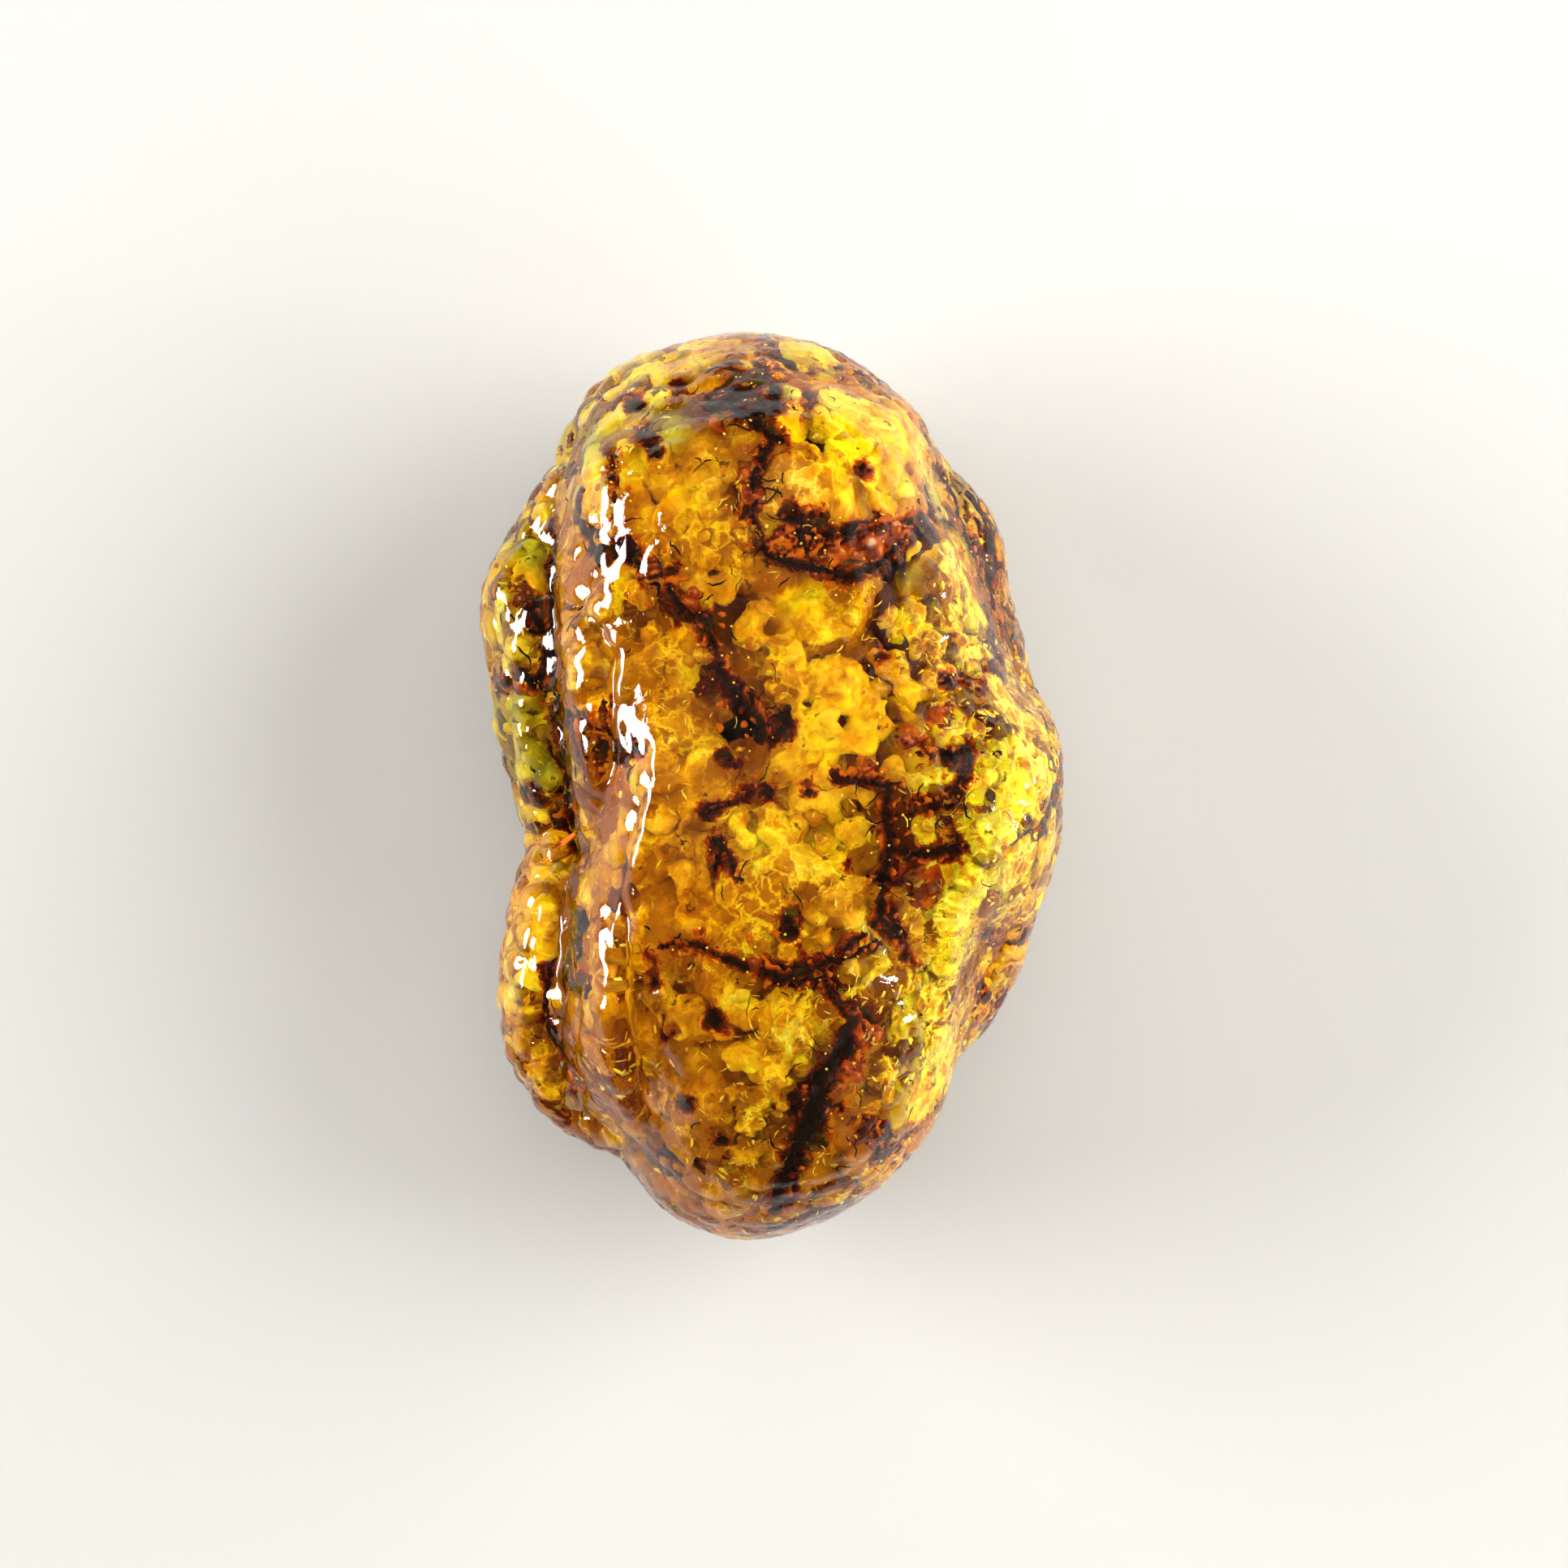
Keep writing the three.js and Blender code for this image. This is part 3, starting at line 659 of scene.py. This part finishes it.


# Bone amber: resin clouded by millions of tiny bubbles. It scatters light, so it looks like waxy
# butter.
# It is painted paler where the curds stand up and darker in their pits, as painted light and shade.
# Iron from the ground stains it orange, red and then nearly black along the seams, with a ragged edge,
# and peppers it with specks.
def milkyResin():
    material = newMaterial("amberMilkyClouded")
    tree = material.node_tree
    place = addNode(tree, "ShaderNodeTexCoord").outputs["Object"]
    pale, stain, green, lift, crackle = (
        addNode(tree, "ShaderNodeAttribute", {"attribute_name": name}).outputs["Fac"]
        for name in ("pale", "stain", "green", "lift", "crackle"))
    clouding = addNode(tree, "ShaderNodeTexNoise", {"Scale": repeatsOf(1.1), "Detail": 3.0,
                       "Roughness": 0.65}, {"Vector": place}).outputs["Fac"]
    grain = addNode(tree, "ShaderNodeTexNoise", {"Scale": repeatsOf(0.3), "Detail": 2.0,
                    "Roughness": 0.6}, {"Vector": place}).outputs["Fac"]
    ragged = addNode(tree, "ShaderNodeTexNoise", {"Scale": repeatsOf(0.34), "Detail": 5.0,
                     "Roughness": 0.75}, {"Vector": place}).outputs["Fac"]
    # Panes between fine cracks: each pane has its own tone, and its edge is a bright line, a painted
    # glint of light caught in the crack.
    swirl = addNode(tree, "ShaderNodeTexNoise", {"Scale": repeatsOf(0.9), "Detail": 4.0,
                    "Roughness": 0.6}, {"Vector": place}).outputs["Color"]
    bent = addNode(tree, "ShaderNodeVectorMath", {"operation": "MULTIPLY_ADD", 1: (1.7 * mm,) * 3},
                   {0: swirl, 2: place}).outputs["Vector"]
    edges = addNode(tree, "ShaderNodeTexVoronoi", {"feature": "DISTANCE_TO_EDGE",
                    "Scale": repeatsOf(0.95)}, {"Vector": bent}).outputs["Distance"]
    panes = addNode(tree, "ShaderNodeTexVoronoi", {"Scale": repeatsOf(0.95)},
                    {"Vector": bent}).outputs["Color"]
    # The line is 1 at the crack edges: a painted glint of light caught in the cracks.
    line = addNode(tree, "ShaderNodeMapRange", {"From Min": 0.03, "From Max": 0.12, "To Min": 1.0,
                   "To Max": 0.0}, {"Value": edges}).outputs["Result"]
    paneShade = addNode(tree, "ShaderNodeMath", {"operation": "SUBTRACT", 1: 0.62},
                        {0: panes}).outputs[0]
    # Painted crack glints plus the random tone of each pane.
    crackGlintAndPanes = addNode(tree, "ShaderNodeMath", {"operation": "MULTIPLY_ADD", 1: 0.7},
                      {0: line, 2: paneShade}).outputs[0]
    crackGlintAndPanesMasked = addNode(tree, "ShaderNodeMath", {"operation": "MULTIPLY"},
                       {0: crackGlintAndPanes, 1: crackle}).outputs[0]
    # Clouding, the height of the curds as painted light and shade, and the panes with their painted
    # crack glints all go into how pale a clot is.
    mixed = addNode(tree, "ShaderNodeMath", {"operation": "MULTIPLY_ADD", 1: 0.9},
                    {0: clouding, 2: pale}).outputs[0]
    # Painted light and shade: the curd height makes the tops paler and the pits darker.
    curdShaded = addNode(tree, "ShaderNodeMath", {"operation": "MULTIPLY_ADD", 1: 0.5},
                    {0: lift, 2: mixed}).outputs[0]
    paleWithPaintedLight = addNode(tree, "ShaderNodeMath", {"operation": "MULTIPLY_ADD", 1: 0.8},
                    {0: crackGlintAndPanesMasked, 2: curdShaded}).outputs[0]
    shade = addNode(tree, "ShaderNodeMath", {"operation": "SUBTRACT", 1: 0.83}, {0: paleWithPaintedLight}).outputs[0]
    butter = addNode(tree, "ShaderNodeValToRGB", {"stops": [
        (0.0, linear("#a8661a")), (0.25, linear("#d89a30")), (0.6, linear("#fad870")),
        (1.0, linear("#fff8c0"))]}, {"Fac": shade}).outputs["Color"]
    greened = addNode(tree, "ShaderNodeMix", {"data_type": "RGBA", 7: linear("#b4b052")},
                      {0: green, 6: butter}).outputs[2]
    # Rust darkens it towards the seams.
    torn = addNode(tree, "ShaderNodeMath", {"operation": "MULTIPLY_ADD", 1: 1.6, 2: -0.8},
                   {0: ragged}).outputs[0]
    stained = addNode(tree, "ShaderNodeMath", {"operation": "ADD"}, {0: stain, 1: torn}).outputs[0]
    rust = addNode(tree, "ShaderNodeValToRGB", {"stops": [
        (0.4, (1, 1, 1, 1)), (0.5, linear("#f6ac4c")), (0.6, linear("#c25a10")),
        (0.76, linear("#6e1e05")), (1.0, linear("#1c0602"))]}, {"Fac": stained}).outputs["Color"]
    rusty = addNode(tree, "ShaderNodeMix", {"data_type": "RGBA", "blend_type": "MULTIPLY", 0: 1.0},
                    {6: greened, 7: rust}).outputs[2]
    dots = addNode(tree, "ShaderNodeTexNoise", {"Scale": repeatsOf(0.55), "Detail": 1.0},
                   {"Vector": bent}).outputs["Fac"]
    specks = addNode(tree, "ShaderNodeMapRange", {"From Min": 0.7, "From Max": 0.75, "To Max": 0.85},
                     {"Value": dots}).outputs["Result"]
    colour = addNode(tree, "ShaderNodeMix", {"data_type": "RGBA", 7: linear("#3a1204")},
                     {0: specks, 6: rusty}).outputs[2]
    bump = addNode(tree, "ShaderNodeBump", {"Strength": 0.9, "Distance": 0.1 * mm}, {"Height": grain})
    surface = addNode(tree, "ShaderNodeBsdfPrincipled",
                      {"Roughness": 0.4, "Subsurface Weight": 0.4, "Subsurface Scale": 0.8 * mm,
                       "Subsurface Radius": (1.0, 0.6, 0.15), "Specular IOR Level": 0.25},
                      {"Base Color": colour, "Normal": bump.outputs["Normal"]})
    addNode(tree, "ShaderNodeOutputMaterial", None, {"Surface": surface.outputs["BSDF"]})
    return material


bone = milkyResin()
milkyPieces = [fromBmesh(makeClots(), "milkyClots", bone),
               fromBmesh(makeSmallClots(), "smallClots", bone),
               fromBmesh(makeCloud(), "goldenCloud", bone)]
for piece in milkyPieces:
    paintClots(piece)
    settle(piece)
    print(piece.name, "made:", len(piece.data.polygons), "faces")


seamLook = {
    "seed": 5, "voxel": 0.1, "spacing": 0.2,
    "top": 0.34,  # the resin above a seam
    "level": 0.6,  # from one row of lumps to the next one down
    "rough": 0.13,
    "strays": 3, "strayDepth": (0.35, 0.7), "strayRadius": (0.07, 0.2),
    "hairs": 170, "hairLength": (0.35, 1.4), "hairThick": (0.02, 0.045),
    "hairDepth": (0.25, 0.4), "hairSpread": 1.2,
    "hairsFrom": 6,  # height above the floor
    "roof": 0.2,  # the least resin above a hair
}


# A seam is a wall of small lumps, uneven in width and thinner as it goes down, with strays
# beside it.
def addSeam(bm, seam, rng):
    look = seamLook
    levels = max(2, round(seam["deep"] / 0.7))  # rows of lumps, one under the other
    for x, y, share in stepsAlong(seam["line"], look["spacing"]):
        if under(x, y) is None:
            continue
        half = halfAt(seam, share)
        # It swells and narrows along its way.
        half *= 0.7 + 1.2 * max(noise.noise(Vector((x, y, 0)) / 0.9), -0.4)
        for level in range(levels):
            centre = under(x, y, look["top"] + half * 0.6 + level * look["level"])
            centre += Vector((rng.gauss(0, 0.3), rng.gauss(0, 0.3), 0)) * half * mm
            radius = half * (1 - 0.5 * level / levels) * rng.uniform(0.55, 1.2)
            addLump(bm, centre, radius, rng.uniform(0.6, 1.0), rng.uniform(0, 180), 1, rng)
        for _ in range(look["strays"]):
            angle = rng.uniform(0, 2 * math.pi)
            reach = half + rng.expovariate(1 / 0.4)
            centre = under(x, y, rng.uniform(*look["strayDepth"]))
            centre += Vector((math.cos(angle), math.sin(angle), 0)) * reach * mm
            addLump(bm, centre, rng.uniform(*look["strayRadius"]), rng.uniform(0.4, 1.0),
                    rng.uniform(0, 180), 1, rng)


# One thin spindle, bent to an arc and three times as deep as it is wide.
def addHair(bm, centre, length, thick, rng):
    hair = bmesh.new()
    bmesh.ops.create_uvsphere(hair, u_segments=4, v_segments=8, radius=1.0)
    curl = rng.uniform(0.2, 0.9)
    turn = Matrix.Rotation(rng.uniform(0, 2 * math.pi), 3, "Z")
    turn = turn @ Matrix.Rotation(rng.gauss(0, 0.3), 3, "Y")
    for v in hair.verts:
        along = v.co.z * curl
        reach = length / 2 / curl
        arc = Vector((math.sin(along) * reach, (1 - math.cos(along)) * reach, 0))
        arc.y += 0.12 * length * noise.noise(Vector((v.co.z * 2.5, length * 9, curl)))
        v.co = centre + turn @ (arc + Vector((0, v.co.y * thick, v.co.x * thick * 3))) * mm
    join(bm, hair)


# A random point close to a seam, at a depth in the range, or None beside the stone.
def besideSeam(spread, depths, rng):
    x, y, _ = rng.choice(seamSteps)
    return under(x + rng.gauss(0, spread), y + rng.gauss(0, spread), rng.uniform(*depths))


# Short dark cracks, thin as a hair, mostly close to the seams.
def addHairCracks(bm, rng):
    look = seamLook
    made = 0
    while made < look["hairs"]:
        centre = besideSeam(look["hairSpread"], look["hairDepth"], rng)
        if centre is None or centre.z < look["hairsFrom"] * mm:
            continue
        addHair(bm, centre, rng.uniform(*look["hairLength"]), rng.uniform(*look["hairThick"]), rng)
        made += 1


def makeSeams():
    look = seamLook
    rng = random.Random(look["seed"])
    bm = bmesh.new()
    for seam in seams:
        addSeam(bm, seam, rng)
    for x, y, radius in crumbs:
        for _ in range(4):
            centre = under(x, y, 0.35 + radius * 0.6)
            centre += Vector((rng.gauss(0, 0.4), rng.gauss(0, 0.4), 0)) * radius * mm
            addLump(bm, centre, radius * rng.uniform(0.5, 0.9), 0.8, rng.uniform(0, 180), 1, rng)
    whole = fused(bm, look["voxel"])
    pushOut(whole, lambda v: look["rough"] * (noise.noise(v.co / mm / 0.45)
                                              + 0.6 * noise.noise(v.co / mm / 0.2)))
    edge = whole.verts.layers.float.new("edge")  # 0 in the middle of a seam, 1 well outside it
    for v in whole.verts:
        _, i, away = seamTree.find((v.co.x / mm, v.co.y / mm, 0))
        v[edge] = min(away / seamSteps[i][2], 2.0) / 2
    addHairCracks(whole, rng)
    keepInside(whole, lambda p: look["roof"])
    return whole


# Iron-stained crust in old cracks: earth and rust that filled the fissures. It is dull, nearly
# black in the middle, and red-brown to orange where it thins out.
def rustCrust():
    material = newMaterial("ironCrustInFissures")
    tree = material.node_tree
    place = addNode(tree, "ShaderNodeTexCoord").outputs["Object"]
    edge = addNode(tree, "ShaderNodeAttribute", {"attribute_name": "edge"}).outputs["Fac"]
    grain = addNode(tree, "ShaderNodeTexNoise", {"Scale": repeatsOf(0.5), "Detail": 5.0,
                    "Roughness": 0.7}, {"Vector": place}).outputs["Fac"]
    mixed = addNode(tree, "ShaderNodeMath", {"operation": "MULTIPLY_ADD", 1: 0.9, 2: -0.45},
                    {0: grain})
    shade = addNode(tree, "ShaderNodeMath", {"operation": "ADD"}, {0: edge, 1: mixed.outputs[0]})
    colour = addNode(tree, "ShaderNodeValToRGB", {"stops": [
        (0.25, linear("#160401")), (0.5, linear("#4c1404")), (0.7, linear("#8c3008")),
        (0.95, linear("#c05e14"))]}, {"Fac": shade.outputs[0]})
    bump = addNode(tree, "ShaderNodeBump", {"Strength": 0.7, "Distance": 0.08 * mm}, {"Height": grain})
    surface = addNode(tree, "ShaderNodeBsdfPrincipled", {"Roughness": 0.6, "Specular IOR Level": 0.05},
                      {"Base Color": colour.outputs["Color"], "Normal": bump.outputs["Normal"]})
    addNode(tree, "ShaderNodeOutputMaterial", None, {"Surface": surface.outputs["BSDF"]})
    return material


crust = fromBmesh(makeSeams(), "rustySeams", rustCrust())
settle(crust)
print("seams made:", len(crust.data.polygons), "faces")


# Red-orange stained resin: x, y, radius, flatness across, and turn in degrees.
redLumps = [
    (0.5, 10.15, 0.66, 0.8, 0), (2.4, 9.75, 0.9, 0.75, 10), (3.9, 10.15, 1.1, 0.65, 20),
    (5.2, 10.6, 0.7, 0.8, 20), (2.0, 9.0, 0.6, 0.7, 0), (-0.9, 13.2, 0.62, 1.0, 0),
    (-0.6, 12.1, 0.6, 1.0, 0), (6.4, -3.9, 0.9, 0.9, 0), (6.6, -4.7, 0.6, 0.7, 20),
    (7.0, 2.7, 0.8, 0.8, 30), (6.0, 1.9, 0.6, 0.8, 0), (3.8, -10.4, 0.8, 0.8, -60),
    (3.2, -12.0, 0.7, 0.8, 20), (3.8, 18.4, 1.2, 0.7, -28), (-0.9, -7.6, 0.6, 0.6, 0),
    (3.2, -6.6, 0.7, 0.6, 40), (4.0, 0.8, 0.6, 0.8, 0), (-3.3, 7.9, 0.6, 0.8, 0),
    (-0.4, 3.0, 0.5, 0.8, 0), (-8.4, -1.0, 0.5, 0.6, 90), (-8.5, -13.0, 0.5, 0.5, 90),
    (-2.2, 15.2, 0.5, 0.6, 120),
]

redLook = {
    "seed": 8, "depth": 0.4, "facet": 0.9, "facetHeight": 0.32,
    "roof": 0.22,  # the least resin above a red lump
}


def makeRedLumps():
    look = redLook
    rng = random.Random(look["seed"])
    bm = bmesh.new()
    for x, y, radius, across, turn in redLumps:
        addLump(bm, under(x, y, look["depth"] + radius * 0.75), radius, across, turn, 4, rng)

    def facetAt(v):
        return look["facetHeight"] * (0.5 - 1.4 * noise.voronoi(v.co / mm / look["facet"])[0][0])

    pushOut(bm, facetAt)
    keepInside(bm, lambda p: look["roof"])
    return bm


# Cherry amber: resin stained through by iron, like dark honey. It glows deep orange where it
# is thin, and stays glossy, because it is as hard as the clear resin round it.
def cherryResin():
    material = newMaterial("amberCherryStained")
    tree = material.node_tree
    place = addNode(tree, "ShaderNodeTexCoord").outputs["Object"]
    clouding = addNode(tree, "ShaderNodeTexNoise", {"Scale": repeatsOf(0.9), "Detail": 4.0},
                       {"Vector": place}).outputs["Fac"]
    colour = addNode(tree, "ShaderNodeValToRGB", {"stops": [
        (0.32, linear("#4a0f02")), (0.5, linear("#9a3006")), (0.72, linear("#e67c1c"))]},
        {"Fac": clouding})
    surface = addNode(tree, "ShaderNodeBsdfPrincipled",
                      {"Roughness": 0.2, "Subsurface Weight": 0.35, "Subsurface Scale": 0.5 * mm,
                       "Subsurface Radius": (1.0, 0.3, 0.1)},
                      {"Base Color": colour.outputs["Color"]})
    addNode(tree, "ShaderNodeOutputMaterial", None, {"Surface": surface.outputs["BSDF"]})
    return material


cherry = settle(fromBmesh(makeRedLumps(), "cherryLumps", cherryResin()))
print("red lumps made:", len(cherry.data.polygons), "faces")


# Where the stress cracks crowd: x, y, radius, and how much.
glintSpots = [
    (9.4, -1.5, 3.6, 1.0), (8.6, 4.6, 2.6, 0.7), (6.8, -7.4, 2.6, 1.0), (6.2, -11.0, 2.8, 1.0),
    (2.4, -9.8, 1.6, 1.0), (-0.6, -10.0, 1.6, 0.5), (0.0, -13.6, 1.6, 0.6), (-1.4, -15.8, 1.6, 0.6),
    (-6.4, -12.4, 1.0, 1.0), (-4.1, 3.6, 0.9, 0.8), (-3.8, -0.6, 0.8, 0.5), (-1.8, 12.6, 1.0, 0.6),
    (4.6, 7.6, 2.2, 0.5), (0.6, -18.0, 3.0, 0.4), (3.2, -1.0, 1.4, 0.4), (1.8, -4.8, 1.4, 0.6),
]

glintLook = {
    "seed": 21, "count": 1100, "radius": (0.07, 0.32),
    "flakesFrom": 3,  # height above the floor
    "elsewhere": 0.06,  # how much they crowd outside the spots
    "thin": 0.07, "dish": (0.05, 0.35),  # thickness and hollow, as shares of the radius
    "lean": (76, 97),  # degrees from lying flat
    "bubbles": 320, "bubble": (0.03, 0.075), "bubbleDepth": (0.25, 0.5), "bubbleSpread": 1.0,
    "roof": 0.18,  # the least resin above a flake or bubble
}


# A dished disc with a wavy edge. It stands nearly upright, and leans the way its neighbours do.
def addFlake(bm, centre, radius, rng):
    look = glintLook
    flake = bmesh.new()
    bmesh.ops.create_uvsphere(flake, u_segments=7, v_segments=4, radius=1.0)
    dish = rng.uniform(*look["dish"])
    across = rng.uniform(0.35, 0.9)
    shift = anywhere(rng)
    heading = 4 * math.pi * noise.noise(centre / mm / 3.5) + rng.gauss(0, 0.5)
    turn = Matrix.Rotation(heading, 3, "Z")
    turn = turn @ Matrix.Rotation(math.radians(rng.uniform(*look["lean"])), 3, "X")
    turn = turn @ Matrix.Rotation(rng.uniform(0, 2 * math.pi), 3, "Z")
    for v in flake.verts:
        out = 1 + 0.6 * noise.noise(Vector((v.co.x, v.co.y, 0)) * 1.4 + shift)
        x, y = v.co.x * out, v.co.y * out * across
        z = v.co.z * look["thin"] + dish * (x * x + y * y)
        v.co = centre + turn @ Vector((x, y, z)) * radius * mm
    join(bm, flake)


def addFlakes(bm, rng):
    look = glintLook
    low, high = (Vector(corner) / mm for corner in cadBounds)
    made = 0
    while made < look["count"]:
        x, y = rng.uniform(low.x, high.x), rng.uniform(low.y, high.y)
        crowd = within(glintSpots, x, y) + look["elsewhere"]
        if rng.random() > crowd or awayFromSeam(x, y) < 0.4:
            continue
        down = rng.uniform(0.3, 0.5 + 0.6 * within(clearSpots, x, y))
        centre = under(x, y, down)
        if centre is None or centre.z < look["flakesFrom"] * mm:
            continue
        addFlake(bm, centre, min(rng.uniform(*look["radius"]), down - 0.12), rng)
        made += 1


def addBubbles(bm, rng):
    look = glintLook
    made = 0
    while made < look["bubbles"]:
        centre = besideSeam(look["bubbleSpread"], look["bubbleDepth"], rng)
        if centre is None:
            continue
        bubble = bmesh.new()
        size = rng.uniform(*look["bubble"]) * mm
        bmesh.ops.create_uvsphere(bubble, u_segments=8, v_segments=5, radius=size)
        bmesh.ops.translate(bubble, verts=bubble.verts, vec=centre)
        join(bm, bubble)
        made += 1


def makeGlints():
    look = glintLook
    rng = random.Random(look["seed"])
    bm = bmesh.new()
    addFlakes(bm, rng)
    addBubbles(bm, rng)
    keepInside(bm, lambda p: look["roof"])
    return bm


# Sun spangles: thin stress cracks and bubbles with air in them. They throw light back, so
# they show as bright yellow lines and dots in the darker resin.
def airCrack():
    material = newMaterial("stressCrackWithAir")
    tree = material.node_tree
    place = addNode(tree, "ShaderNodeTexCoord").outputs["Object"]
    wear = addNode(tree, "ShaderNodeTexNoise", {"Scale": repeatsOf(0.4)}, {"Vector": place})
    gloss = addNode(tree, "ShaderNodeMapRange", {"To Min": 0.15, "To Max": 0.4},
                    {"Value": wear.outputs["Fac"]})
    surface = addNode(tree, "ShaderNodeBsdfPrincipled",
                      {"Base Color": linear("#ffe070")},
                      {"Roughness": gloss.outputs["Result"]})
    addNode(tree, "ShaderNodeOutputMaterial", None, {"Surface": surface.outputs["BSDF"]})
    return material


glints = settle(fromBmesh(makeGlints(), "crackGlints", airCrack()))
print("glints made:", len(glints.data.polygons), "faces")


studio = {
    "floor": "#a19f9a", "floorHalf": 1.5,  # metres
    "world": "#fff8ee", "worldStrength": 0.08,
    "cameraHeight": 200.6, "lens": 100, "aim": (0.59, 0.04),
}

# Softboxes: place in millimetres, width and height in metres, watts, and whether the gloss on
# the skin shows them. One that it doesn't show still lights the stone.
softboxes = {
    "leftSoftbox": ((-350, 60, 150), (0.34, 0.19), 3.7, True),
    "rightSoftbox": ((310, 90, 150), (0.34, 0.34), 3.9, False),
    "rimSoftbox": ((400, -20, 80), (0.04, 0.2), 0.5, True),
    "topSoftbox": ((-20, 180, 360), (0.4, 0.4), 1.1, False),
    "lowerSoftbox": ((290, -200, 140), (0.3, 0.3), 1.2, False),
}


# Matt card, sprayed: it stays pale and even.
def mattCard():
    material = newMaterial("mattCardSprayed")
    tree = material.node_tree
    surface = addNode(tree, "ShaderNodeBsdfPrincipled",
                      {"Base Color": linear(studio["floor"]), "Roughness": 0.8})
    addNode(tree, "ShaderNodeOutputMaterial", None, {"Surface": surface.outputs["BSDF"]})
    return material


floorBm = bmesh.new()
bmesh.ops.create_grid(floorBm, x_segments=1, y_segments=1, size=studio["floorHalf"])
floor = fromBmesh(floorBm, "floor", mattCard())

# A plain, dim room, so that little of it shows in the gloss.
world = bpy.data.worlds.new("studio")
world.use_nodes = True
backdrop = world.node_tree.nodes["Background"]
backdrop.inputs["Color"].default_value = linear(studio["world"])
backdrop.inputs["Strength"].default_value = studio["worldStrength"]
scene.world = world

# Each is an ellipse, aimed at the middle of the stone.
for name, (place, size, power, inGloss) in softboxes.items():
    lamp = bpy.data.lights.new(name, "AREA")
    lamp.shape = "ELLIPSE"
    lamp.size, lamp.size_y = size
    lamp.energy = power
    holder = bpy.data.objects.new(name, lamp)
    holder.location = Vector(place) * mm
    aim = Vector((0, 0, 8)) * mm - holder.location
    holder.rotation_euler = aim.to_track_quat("-Z", "Y").to_euler()
    holder.visible_glossy = inGloss
    scene.collection.objects.link(holder)

# It looks straight down on the stone.
camera = bpy.data.objects.new("camera", bpy.data.cameras.new("camera"))
camera.data.lens = studio["lens"]
camera.data.sensor_width = 36
camera.data.clip_start = 0.01
camera.location = Vector((*studio["aim"], studio["cameraHeight"])) * mm
scene.collection.objects.link(camera)
scene.camera = camera

# Enough bounces for light to go in through the resin and come out again.
scene.cycles.max_bounces = 10
scene.cycles.transmission_bounces = 8
scene.cycles.glossy_bounces = 4
scene.cycles.diffuse_bounces = 3
scene.cycles.use_denoising = True
scene.cycles.adaptive_threshold = 0.05
scene.view_settings.view_transform = "Standard"
print("studio made")
